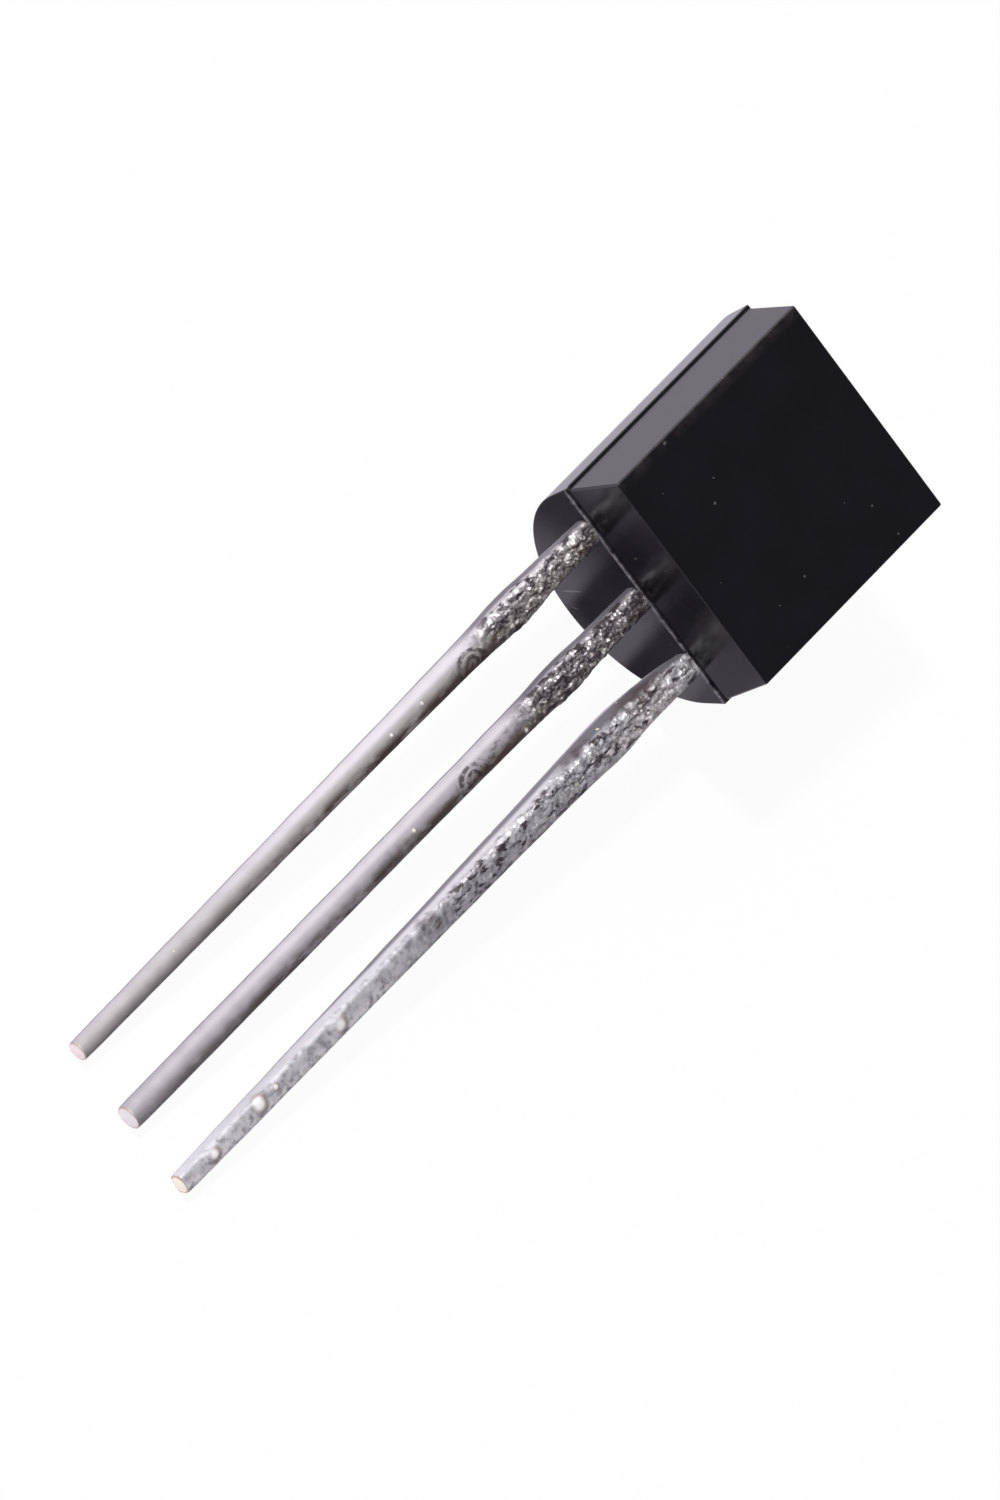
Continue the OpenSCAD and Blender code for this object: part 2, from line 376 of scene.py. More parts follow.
body = {
    "width": 4.26,              # at the parting plane
    "frontDepth": 1.24,         # parting plane to flat face
    "frontDraft": 5,            # degrees
    "backDraft": 8,
    "mouldStep": 0.045,         # the back half stands proud of the front half
    "frontEdge": 0.035,         # roundness of the moulded edges
    "backEdge": 0.028,
    "edgeSteps": 3,
    "smoothAngle": 35,          # degrees
    "arcSides": 360,            # of the full drum that the round back is cut from
    "ejectorWidth": 1.5,        # sunk mark of the ejector pin on the crest
    "ejectorDepth": 0.17,
    "gateWidth": 0.8,           # broken stub of the mould gate on the top end
    "gateThick": 0.3,
    "gateHeight": 0.04,
    "gateRoot": 0.3,            # reaches this far into the body
}


# A drum is cut to the arc of the round back and drawn out to the parting plane.
# The front half is then pushed out of that plane, smaller by the step between the mould halves
def makeBodyShell():
    halfWidth = body["width"] / 2
    height = upright["bodyHeight"]
    depth = upright["backDepth"]
    draft = math.radians(body["backDraft"])
    slope = math.tan(math.radians(upright["endDraft"]))
    radius = (halfWidth * math.cos(draft) - depth * math.sin(draft)) / (1 - math.sin(draft))
    arcY = depth - radius
    tangentX = radius * math.cos(draft)
    tangentY = arcY + radius * math.sin(draft)

    spare = 1       # mm, cut off each end
    shell = addRod("body_shell", radius, height + 2 * spare, (0, arcY, height / 2), sides=body["arcSides"])
    pick(shell, "FACE", lambda c, n: True)
    bisectAt((0, tangentY, 0), (0, 1, 0), clear_inner=True)
    pick(shell, "FACE", lambda c, n: n.y < -0.9)
    bpy.ops.mesh.extrude_region_move(TRANSFORM_OT_translate={"value": (0, -tangentY, 0)})
    bpy.ops.transform.resize(value=(halfWidth / tangentX, 1, 1), center_override=(0, 0, height / 2))
    bisectAt((0, 0, 0), (0, -slope, 1), clear_inner=True)
    bisectAt((0, 0, height), (0, slope, 1), clear_outer=True)

    step = body["mouldStep"]
    frontWidth = body["width"] - 2 * step
    frontHeight = height - 2 * step
    faceWidth = frontWidth - 2 * body["frontDepth"] * math.tan(math.radians(body["frontDraft"]))
    faceHeight = frontHeight - 2 * body["frontDepth"] * slope
    pick(shell, "FACE", lambda c, n: n.y < -0.9)
    bpy.ops.mesh.inset(thickness=step)
    bpy.ops.mesh.extrude_region_move(TRANSFORM_OT_translate={"value": (0, -body["frontDepth"], 0)})
    bpy.ops.transform.resize(value=(faceWidth / frontWidth, 1, faceHeight / frontHeight),
                             center_override=(0, -body["frontDepth"], height / 2))

    steps = body["edgeSteps"]
    corner = lambda a, b: max(a.y, b.y) < slack and abs(a.y - b.y) > slack      # four, of the front half
    faceEdge = lambda a, b: max(a.y, b.y) < -slack and abs(a.y - b.y) < slack   # round the flat face
    pick(shell, "EDGE", lambda a, b: corner(a, b) or faceEdge(a, b))
    bpy.ops.mesh.bevel(offset=body["frontEdge"], segments=steps, affect="EDGES")

    outer = halfWidth - slack
    onEnd = lambda v: v.y > -slack and (v.z < v.y * slope + slack or v.z > height - v.y * slope - slack)
    onRim = lambda v: abs(v.y) < slack and (abs(v.x) > outer or v.z < slack or v.z > height - slack)
    rimEdge = lambda a, b: onRim(a) and onRim(b)                                # round the parting plane
    endEdge = lambda a, b: onEnd(a) and onEnd(b) and max(a.y, b.y) > slack and abs(a.z - b.z) < height / 2
    pick(shell, "EDGE", lambda a, b: rimEdge(a, b) or endEdge(a, b))
    bpy.ops.mesh.bevel(offset=body["backEdge"], segments=steps, affect="EDGES")
    return shell


def makeBody():
    shell = makeBodyShell()
    height = upright["bodyHeight"]
    cutter = 1      # mm, length of the rod that sinks the mark
    sunkY = upright["backDepth"] - body["ejectorDepth"]
    mark = addRod("ejector_pin", body["ejectorWidth"] / 2, cutter, (0, sunkY + cutter / 2, height / 2),
                  turn=alongY)
    combine(shell, mark, "DIFFERENCE")
    halfGate = body["gateWidth"] / 2
    gate = addBox("gate_stub", (-halfGate, slack, height - body["gateRoot"]),
                  (halfGate, body["gateThick"], height + body["gateHeight"]))
    combine(shell, gate, "UNION")
    return shell


shell = makeBody()
layDown(shell, body["smoothAngle"])
print("body modelled")

pin = {
    "rootWidth": 0.44,          # where the lead enters the resin
    "rootLength": 1.40,         # body to the cut tie bar
    "tieLength": 0.90,
    "tieSlope": 0.20,
    "tieRight": 0.055,          # how far the cut tie bar stands out on each side
    "tieLeft": 0.03,
    "bareLength": 0.35,         # the tin starts to thicken below it
    "corner": 0.055,
    "tipEdge": 0.045,
    "buried": 0.15,             # full section runs this far into the body
    "plugStep": 0.05,           # and is then drawn in, so that it meets the frame inside
    "plugLength": 0.2,
    "plugShare": 0.9,
    "aroundStep": 0.03,         # longest edges: round the pin, along it, and along its pitted stretch
    "coarseStep": 0.08,
    "fineStep": 0.022,
    "fineBeyond": 1,            # the fine edges reach this far past roughEnd
    "smoothAngle": 40,          # degrees
}

# Sizes are in mm, and a place is x and z on the front of the lead, z from the body.
# neck, tip: width and thickness with the tin on, where the slim pin starts and at its tip, each with its
# sideways shift; tie: thickness at the tie bar; turn, tipTurn: degrees round the lead's axis
# round: how much the front and back, and the two sides, of the slim pin are drawn in
# roughEnd: where the pitted tin ends; flux: the noise level above which flux fills a pit
# satin: roughness of the smooth front; film: share of dull film on the sides and on the front
# bare: how much of that film is left on the pitted stretch; tin: the two shades of clean tin
# tarnish: strength of the brown tarnish and painted shade on the right; pale: x of the painted highlight on
# the left
# aged: z over which both grow from weak at the tip to full; dusk: depth behind the front at which painted
# shade darkens the sides, at the tip and higher up
# scuffs, stains, beads: place and size of each one; cut: colour of the sheared tip
leads = {
    "emitter_lead": {
        "x": -upright["pitch"],
        "neck": (0.48, 0.46), "tip": (0.37, 0.355), "neckShift": -0.022, "tipShift": 0.018,
        "tie": 0.48, "turn": 0, "tipTurn": 0, "round": (1, 1),
        "roughEnd": 2.7, "flux": 0.52, "satin": 0.60, "film": (0.75, 0.85), "bare": 0.5,
        "tin": ("#9b9796", "#b2aeae"), "cut": "#f6efe6",
        "tarnishAndShade": 1.0, "pale": -0.17, "fadeToTip": (-10.0, -6.5), "dusk": (0.15, 0.15),
        "scuffs": [(0.10, -3.13, 0.29)],
        "stains": [(0.16, -2.75, 0.2), (0.2, -3.5, 0.25)],
        "beads": [(-0.04, -4.23, 0.08), (-0.03, -4.97, 0.07)]},
    "base_lead": {
        "x": 0.0,
        "neck": (0.46, 0.45), "tip": (0.46, 0.43), "neckShift": -0.007, "tipShift": -0.007,
        "tie": 0.46, "turn": 0, "tipTurn": 0, "round": (1, 1),
        "roughEnd": 2.9, "flux": 0.48, "satin": 0.56, "film": (0.7, 0.85), "bare": 0.5,
        "tin": ("#918d90", "#adaaae"), "cut": "#f0efe8",
        "tarnishAndShade": 1.0, "pale": -0.19, "fadeToTip": (-12.5, -8.5), "dusk": (0.15, 0.15),
        "scuffs": [(0.09, -4.29, 0.30)],
        "stains": [(0.16, -3.2, 0.2), (-0.08, -3.6, 0.07), (0.04, -3.72, 0.07), (0.2, -4.9, 0.2),
                   (0.22, -6.2, 0.3)],
        "beads": [(0.12, -3.07, 0.09), (-0.035, -5.66, 0.08)]},
    "collector_lead": {
        "x": upright["pitch"],
        "neck": (0.56, 0.49), "tip": (0.36, 0.33), "neckShift": -0.11, "tipShift": -0.02,
        "tie": 0.50, "turn": 20, "tipTurn": 8, "round": (0, 1),
        "roughEnd": 6.2, "flux": 0.55, "satin": 0.62, "film": (0.75, 0.8), "bare": 0.8,
        "tin": ("#bfbdc2", "#dbdadd"), "cut": "#fffce6",
        "tarnishAndShade": 0.3, "pale": -0.2, "fadeToTip": (-10.0, -6.5), "dusk": (0.26, 0.19),
        "scuffs": [],
        "stains": [(-0.34, -1.1, 0.3), (-0.42, -2.6, 0.16), (-0.2, -6.5, 0.13), (0.0, -6.25, 0.1)],
        "beads": [(-0.03, -8.67, 0.24), (-0.07, -10.17, 0.12), (-0.08, -10.59, 0.27), (-0.02, -11.68, 0.2)]},
}


# Extrudes the top face to a new height and gives it that section's width, thickness, sideways shift and turn.
# With no window a rotation turns clockwise for a positive angle
def pushUp(piece, old, new):
    pick(piece, "FACE", lambda c, n: n.z > 0.7 and c.z > old["z"] - slack)
    bpy.ops.mesh.extrude_region_move(TRANSFORM_OT_translate={"value": (0, 0, new["z"] - old["z"])})
    middle = (old["shift"], 0, new["z"])
    bpy.ops.transform.rotate(value=math.radians(old["turn"]), orient_axis="Z", center_override=middle)
    bpy.ops.transform.resize(value=(new["width"] / old["width"], new["thick"] / old["thick"], 1),
                             center_override=middle)
    bpy.ops.transform.rotate(value=-math.radians(new["turn"]), orient_axis="Z", center_override=middle)
    bpy.ops.transform.translate(value=(new["shift"] - old["shift"], 0, 0))


def section(z, width, thick, shift=0.0, turn=0.0):
    return {"z": z, "width": width, "thick": thick, "shift": shift, "turn": turn}


# Draws the flats of one section in, so that the front and back, or the two sides, turn round
def roundSection(piece, stage, amounts):
    middle = (stage["shift"], 0, stage["z"])
    sizes = (stage["width"], stage["thick"])
    for across, amount in enumerate(amounts):
        flat = sizes[across] - 2 * pin["corner"]
        squeeze = [1, 1, 1]
        squeeze[across] = 1 + amount * (math.tan(math.pi / 8) * sizes[across] / flat - 1)
        other = 1 - across
        reach = sizes[other] / 2 - slack
        pick(piece, "VERT", lambda v: abs(v.z - stage["z"]) < slack and abs(v[other] - middle[other]) > reach)
        bpy.ops.transform.resize(value=squeeze, center_override=middle)


# A stamped and tinned pin, from its cut tip up to the plug that is buried in the resin
def makePin(name, spec):
    length = upright["leadLength"]
    thick = upright["leadThick"]
    width = pin["rootWidth"]
    tieEnd = -pin["rootLength"] - pin["tieLength"]
    tieWidth = pin["tieRight"] + pin["tieLeft"] + spec["neck"][0]
    tieShift = spec["neckShift"] + (pin["tieRight"] - pin["tieLeft"]) / 2
    turn = spec["turn"]
    plug = (width * pin["plugShare"], thick * pin["plugShare"])
    stages = [
        section(-length, *spec["tip"], spec["tipShift"], spec["tipTurn"]),
        section(tieEnd - pin["tieSlope"], *spec["neck"], spec["neckShift"], turn),
        section(tieEnd, tieWidth, spec["tie"], tieShift, turn),
        section(-pin["rootLength"] - pin["tieSlope"], tieWidth, spec["tie"], tieShift, turn),
        section(-pin["rootLength"], spec["neck"][0], spec["tie"], spec["neckShift"], turn),
        section(-pin["bareLength"], (spec["neck"][0] + width) / 2, thick, spec["neckShift"] / 2, turn / 2),
        section(0, width, thick),
        section(pin["buried"], width, thick),
        section(pin["buried"] + pin["plugStep"], *plug),
        section(pin["buried"] + pin["plugLength"], *plug),
    ]
    first = stages[0]
    spare = 0.2     # mm, cut off below the tip
    piece = addBox(name, (-first["width"] / 2, -first["thick"] / 2, -length - spare),
                   (first["width"] / 2, first["thick"] / 2, -length))
    pick(piece, "FACE", lambda c, n: True)
    bpy.ops.transform.rotate(value=-math.radians(first["turn"]), orient_axis="Z", center_override=(0, 0, 0))
    bpy.ops.transform.translate(value=(first["shift"], 0, 0))
    for old, new in zip(stages, stages[1:]):
        pushUp(piece, old, new)
    bisectAt((0, 0, -length), (0, 0, 1), clear_inner=True)
    pick(piece, "EDGE", lambda a, b: abs(a.z - b.z) > slack)
    bpy.ops.mesh.bevel(offset=pin["corner"], segments=1, affect="EDGES")
    for stage in stages[:2]:
        roundSection(piece, stage, spec["round"])
    pick(piece, "EDGE", lambda a, b: max(a.z, b.z) < -length + slack)
    bpy.ops.mesh.bevel(offset=pin["tipEdge"], segments=2, affect="EDGES")
    bpy.ops.object.mode_set(mode="OBJECT")
    soften = piece.modifiers.new("soften", "SUBSURF")
    soften.levels = soften.render_levels = 2
    applyModifiers(piece)
    refineAround(piece, pin["aroundStep"])
    refineAlong(piece, pin["coarseStep"], -length + pin["tipEdge"] * 0.9, slack)
    refineAlong(piece, pin["fineStep"], -spec["roughEnd"] - pin["fineBeyond"], slack)
    bpy.ops.object.mode_set(mode="OBJECT")
    return piece


def addWeights(piece, name, weight):
    group = piece.vertex_groups.new(name=name)
    for vertex in piece.data.vertices:
        value = weight(vertex.co)
        if value > 0:
            group.add([vertex.index], value, "REPLACE")


def fade(value, start, end):
    share = min(max((value - start) / (end - start), 0), 1)
    return share * share * (3 - 2 * share)


# Pushes the surface in and out by clouds of one size, both in millimetres
def displace(piece, name, group, size, depth):
    clouds = bpy.data.textures.new(name, "CLOUDS")
    clouds.noise_scale = size
    step = piece.modifiers.new(name, "DISPLACE")
    step.texture = clouds
    step.texture_coords = "LOCAL"
    step.strength = depth
    step.mid_level = 0.5
    step.vertex_group = group


leadFrame = {
    "notchWidth": 0.2,          # round notches that lock each lead in the resin
    "notchHeight": 0.75,
    "gap": 0.25,                # between two leads inside the body
    "paddleBase": 2.2,
    "paddleHeight": 1.6,
    "paddleOver": 0.05,
    "postWidth": 0.64,
    "postHeight": 0.7,
    "headWidth": 0.9,
    "headHeight": 0.45,
    "lockHole": 0.36,
    "neckStart": 0.06,          # above the full section of the pin, round its plug
    "overlap": 0.1,             # of neck and head, which become one
    "cutter": 1,                # length of the rods that cut notches and hole
    "cutterSides": 32,
}


# The part of a lead that the resin hides: neck with two notches, then post, head or die paddle
def makeFrame(name, spec):
    thick = upright["leadThick"]
    x = spec["x"]
    halfRoot = pin["rootWidth"] / 2
    low = leadFrame["paddleBase"]
    if name == "emitter_lead":
        left = x - leadFrame["postWidth"] / 2
        right = x + leadFrame["postWidth"] / 2
        high = low + leadFrame["postHeight"]
    elif name == "base_lead":
        right = leadFrame["headWidth"] / 2
        left = -right
        high = low - leadFrame["gap"]
        low = high - leadFrame["headHeight"]
    else:
        left = leads["emitter_lead"]["x"] + leadFrame["postWidth"] / 2 + leadFrame["gap"]
        right = x + halfRoot + leadFrame["paddleOver"]
        high = low + leadFrame["paddleHeight"]
    inner = addBox(name + "_neck", (x - halfRoot, 0, pin["buried"] + leadFrame["neckStart"]),
                   (x + halfRoot, thick, low + leadFrame["overlap"]))
    for side in (-1, 1):
        notch = addRod("notch", leadFrame["notchWidth"] / 2, leadFrame["cutter"],
                       (x + side * halfRoot, thick / 2, leadFrame["notchHeight"]),
                       turn=alongY, sides=leadFrame["cutterSides"])
        combine(inner, notch, "DIFFERENCE")
    head = addBox("head", (left, 0, low), (right, thick, high))
    if name == "collector_lead":
        hole = addRod("lock_hole", leadFrame["lockHole"] / 2, leadFrame["cutter"],
                      (x, thick / 2, low + leadFrame["paddleHeight"] / 2),
                      turn=alongY, sides=leadFrame["cutterSides"])
        combine(head, hole, "DIFFERENCE")
    combine(inner, head, "UNION")
    return inner


beadShape = {
    "height": 0.22,             # this and the next two are shares of its width
    "reach": 0.5,
    "grip": 0.2,                # the stretch that is pulled
    "widen": 1.3,               # times that stretch, for as long as it holds no vertex
    "frontHalf": 0.12,          # mm
}


# Pulls a low round bead out of the front of a lead
def raiseBead(piece, x, z, width):
    grip = width * beadShape["grip"]
    onBead = lambda v: v.y < beadShape["frontHalf"] and abs(v.x - x) < grip and abs(v.z - z) < grip
    while not pick(piece, "VERT", onBead):
        grip *= beadShape["widen"]
    bpy.ops.transform.translate(value=(0, -width * beadShape["height"], 0), use_proportional_edit=True,
                                proportional_edit_falloff="SPHERE", use_proportional_connected=True,
                                proportional_size=width * beadShape["reach"])
    bpy.ops.object.mode_set(mode="OBJECT")


# Tin that piled up on the front of a lead: mm down from the body, in front of its middle, in from its sides
dross = {
    "start": (0, 0.06),
    "end": (0.6, -0.4),         # past roughEnd, from none to full
    "heavy": (5.5, 2.5),        # from thin to full
    "thinShare": 0.4,
    "front": (0.08, 0.17),
    "side": 0.1,
    "sideShare": 0.35,
    "clouds": (0.12, 0.12),     # size and depth of each layer of clouds
    "grit": (0.055, 0.04),
    "lumps": (0.7, 0.014),      # all over the lead
    "lumpsStart": (0, 0.2),
    "lumpsEnd": (0.01, 0.27),   # mm above the tip
}


def makeLead(name, spec):
    length = upright["leadLength"]
    half = spec["neck"][0] / 2
    ends = [spec["roughEnd"] + past for past in dross["end"]]
    thin = dross["thinShare"]
    beside = dross["sideShare"]

    def piledUp(v):
        share = fade(-v.z, *ends) * fade(-v.z, *dross["start"]) * fade(-v.y, *dross["front"])
        share *= thin + (1 - thin) * fade(-v.z, *dross["heavy"])
        across = abs(v.x - spec["neckShift"])
        return share * (beside + (1 - beside) * fade(across, half, half - dross["side"]))

    def outside(v):
        return fade(-v.z, *dross["lumpsStart"]) * fade(length + v.z, *dross["lumpsEnd"])

    piece = makePin(name + "_tinned", spec)
    addWeights(piece, "piled", piledUp)
    addWeights(piece, "outside", outside)
    piece.location = (spec["x"], upright["leadThick"] / 2, 0)
    applyPlace(piece)
    for x, z, width in spec["beads"]:
        raiseBead(piece, spec["x"] + x, z, width)
    displace(piece, name + "_dross", "piled", *dross["clouds"])
    displace(piece, name + "_grit", "piled", *dross["grit"])
    displace(piece, name + "_lumps", "outside", *dross["lumps"])
    applyModifiers(piece)
    combine(piece, makeFrame(name, spec), "UNION")
    return piece


pieces = {}
for name, spec in leads.items():
    pieces[name] = makeLead(name, spec)
    layDown(pieces[name], pin["smoothAngle"])
    print("lead modelled", name, len(pieces[name].data.polygons))


# Object coordinates stood upright again, in millimetres, so that a pattern follows the mould or the lead
def uprightPlace(material, x=0.0):
    raised = layDownMatrix.inverted()
    coords = addNode(material, "ShaderNodeTexCoord")["Object"]
    return addNode(material, "ShaderNodeMapping",
                   {"Vector": coords, "Location": raised.translation - Vector((x, 0, 0)),
                    "Rotation": (math.pi / 2 - layAngle, 0, 0), "Scale": (1 / millimetre,) * 3})["Vector"]


# Grains of dust, at most one in each cell; the cells with a low chance stay clean
def dustMask(material, place, perMillimetre, clean, radius):
    cells = addNode(material, "ShaderNodeTexVoronoi", {"Vector": place, "Scale": perMillimetre})
    chance = addNode(material, "ShaderNodeSeparateXYZ", {0: cells["Color"]})["X"]
    size = addNode(material, "ShaderNodeMapRange",
                   {"Value": chance, "From Min": clean, "From Max": 1.0, "To Max": radius})[0]
    return addNode(material, "ShaderNodeMath", {0: cells["Distance"], 1: size}, operation="LESS_THAN")[0]


# The two places of a mask are where it is 0 and where it is 1, in mm from the body's own origin
resinLook = {
    "skin": ("#0d0d10", "#151519"),
    "roughness": (0.15, 0.24),
    "flash": "#89868c",
    "flashStart": (-0.002, 0.008),      # back from the parting plane
    "flashEnd": (0.055, 0.035),
    "flashHeight": (0.12, 0.05),        # above the lead end
    "flashRoughness": 0.35,
    "gateShare": 0.6,
    "scratch": "#77737a",
    "scratches": [(-0.333, 1.80, 0.68, -81.8), (-0.03, 2.06, 0.2, -60)],    # x, y, length, turn in degrees
    "scratchWidth": 0.036,
    "scratchHeight": 0.4,
    "haze": "#2c2729",                  # finger marks along the left edge of the flat face
    "hazeEdge": (-1.77, -1.93),
    "hazeDepth": (-1.19, -1.22),
    "dust": "#55514e",
    "dustGrains": (3.2, 0.4, 0.1),      # cells per mm, share of clean cells, largest radius in cells
    "grainDepth": 0.004,
}


# Trimmed flash, a crumbling strip beside the parting line at the lead end, and the broken gate
def flashMask(resin, place, axes):
    top = upright["bodyHeight"]
    masks = []
    for axis, span in (("Y", "flashStart"), ("Y", "flashEnd"), ("Z", "flashHeight")):
        out, full = resinLook[span]
        masks.append(addNode(resin, "ShaderNodeMapRange",
                             {"Value": axes[axis], "From Min": out, "From Max": full})[0])
    crumbs = addNode(resin, "ShaderNodeTexNoise",
                     {"Vector": place, "Scale": 6, "Detail": 3, "Roughness": 0.8})[0]
    crumbs = {"Value": crumbs, "From Min": 0.34, "From Max": 0.6}
    masks.append(addNode(resin, "ShaderNodeMapRange", crumbs)[0])
    flash = masks[0]
    for mask in masks[1:]:
        flash = addNode(resin, "ShaderNodeMath", {0: flash, 1: mask}, operation="MULTIPLY")[0]
    gate = addNode(resin, "ShaderNodeMapRange",
                   {"Value": axes["Z"], "From Min": top + body["gateHeight"] / 2,
                    "From Max": top + body["gateHeight"], "To Max": resinLook["gateShare"]})[0]
    return addNode(resin, "ShaderNodeMath", {0: flash, 1: gate}, operation="MAXIMUM")[0]


# One scratch on the lead end of the round half, with soft ends
def scratchMask(resin, place, x, y, length, turn):
    radii = (length / 2, resinLook["scratchWidth"] / 2, resinLook["scratchHeight"] / 2)
    along = addNode(resin, "ShaderNodeMapping",
                    {"Vector": place, "Location": (x, y, 0), "Rotation": (0, 0, math.radians(turn)),
                     "Scale": radii}, vector_type="TEXTURE")[0]
    away = addNode(resin, "ShaderNodeVectorMath", {0: along}, operation="LENGTH")["Value"]
    return addNode(resin, "ShaderNodeMapRange", {"Value": away, "From Min": 1.0, "From Max": 0.6})[0]


def hazeMask(resin, place, axes):
    haze = addNode(resin, "ShaderNodeTexNoise",
                   {"Vector": place, "Scale": 2.6, "Detail": 5, "Roughness": 0.7})[0]
    haze = addNode(resin, "ShaderNodeMapRange", {"Value": haze, "From Min": 0.38, "From Max": 0.58})[0]
    for axis, span in (("X", "hazeEdge"), ("Y", "hazeDepth")):
        out, full = resinLook[span]
        near = addNode(resin, "ShaderNodeMapRange",
                       {"Value": axes[axis], "From Min": out, "From Max": full})[0]
        haze = addNode(resin, "ShaderNodeMath", {0: haze, 1: near}, operation="MULTIPLY")[0]
    return haze


# Transfer-moulded black epoxy: silica-filled, near black, glossy skin with a fine dull grain.
# The trimmed flash along the parting line is greyer and rougher, handling has hazed one edge
# of the flat face, and dust lies on all of it.
def makeResin():
    resin = newMaterial("black moulded epoxy")
    place = uprightPlace(resin)
    axes = addNode(resin, "ShaderNodeSeparateXYZ", {0: place})
    flash = flashMask(resin, place, axes)
    masks = [scratchMask(resin, place, *scratch) for scratch in resinLook["scratches"]]
    scratched = masks[0]
    for mask in masks[1:]:
        scratched = addNode(resin, "ShaderNodeMath", {0: scratched, 1: mask}, operation="MAXIMUM")[0]
    haze = hazeMask(resin, place, axes)
    dust = dustMask(resin, place, *resinLook["dustGrains"])

    patches = addNode(resin, "ShaderNodeTexNoise", {"Vector": place, "Scale": 1.1, "Detail": 2})[0]
    dark, light = resinLook["skin"]
    colour = addNode(resin, "ShaderNodeMix", {0: patches, 6: dark, 7: light}, data_type="RGBA")[2]
    for share, coat in ((flash, "flash"), (scratched, "scratch"), (haze, "haze"), (dust, "dust")):
        colour = addNode(resin, "ShaderNodeMix", {0: share, 6: colour, 7: resinLook[coat]},
                         data_type="RGBA")[2]

    grain = addNode(resin, "ShaderNodeTexNoise",
                    {"Vector": place, "Scale": 9, "Detail": 4, "Roughness": 0.7})[0]
    least, most = resinLook["roughness"]
    dull = addNode(resin, "ShaderNodeMapRange",
                   {"Value": grain, "From Min": 0.3, "From Max": 0.7, "To Min": least, "To Max": most})[0]
    dull = addNode(resin, "ShaderNodeMath", {0: flash, 1: resinLook["flashRoughness"], 2: dull},
                   operation="MULTIPLY_ADD")[0]
    fine = addNode(resin, "ShaderNodeTexNoise", {"Vector": place, "Scale": 22, "Detail": 2})[0]
    height = addNode(resin, "ShaderNodeMath", {0: flash, 1: 4.0, 2: fine}, operation="MULTIPLY_ADD")[0]
    depth = resinLook["grainDepth"] * millimetre
    relief = addNode(resin, "ShaderNodeBump", {"Strength": 0.35, "Distance": depth, "Height": height})[0]
    surface = addNode(resin, "ShaderNodeBsdfPrincipled",
                      {"Base Color": colour, "Roughness": dull, "IOR": 1.55, "Normal": relief})
    addNode(resin, "ShaderNodeOutputMaterial", {"Surface": surface[0]})
    return resin


# The two places of a mask are where it is 0 and where it is 1, in mm
tinLook = {
    "streak": 0.4,              # patterns are drawn out along the lead
    "frontFade": (0.06, -0.02), # behind the front
    "roughFade": (-0.5, 0.4),   # above roughEnd
    # painted highlight along the left of a lead, the side the light falls on
    "paintedHighlightBand": "#d3d1d5",
    "rightHalf": (-0.07, 0.11), # across the lead
    # brown tarnish and painted shade on the right half, the side away from the key light
    "tarnishAndShade": "#4c3d38",
    # painted shade on the sides of a lead, behind its front
    "side": "#5b5760",
    "sideFade": (0, 0.07),      # behind dusk
    "backFade": (0.2, 0.14),
    "duskRise": (-9.0, -7.5),   # z between which dusk goes from one depth to the other
    "flankFade": (0.06, 0.13),  # behind the front, on the root alone
    "rootFade": (-3.4, -2.6),
    "smear": "#bdbdc2",
    # painted light on the right half of a flat front near the tip
    "paintedLight": "#f6f3f5",
    "paintedLightFade": (-6.5, -8.0),
    "fleck": "#7f7c84",
    # painted highlight on the ridges of the pitted stretch, then flux and painted shade in its creases
    "ridgeHighlight": "#ebe5df",
    "creviceFluxAndShade": "#2b2320",
    "pit": "#3a3236",
    "stain": "#4f4140",
    "stainSway": 0.3,           # mm by which the edge of a stain wanders
    "scuff": "#2e2829",
    "scuffSquash": 0.75,
    "dust": "#efe6da",
    "dustGrains": (3.0, 0.7, 0.15),     # cells per mm, share of clean cells, largest radius in cells
    "beadFlux": "#9a8474",
    # painted highlight on the crown of a bead
    "bead": "#f4f3f1",
    "copper": "#c9a898",
    "cutFade": (0.03, 0.01),    # above the tip
    "gritDepth": 0.03,
}


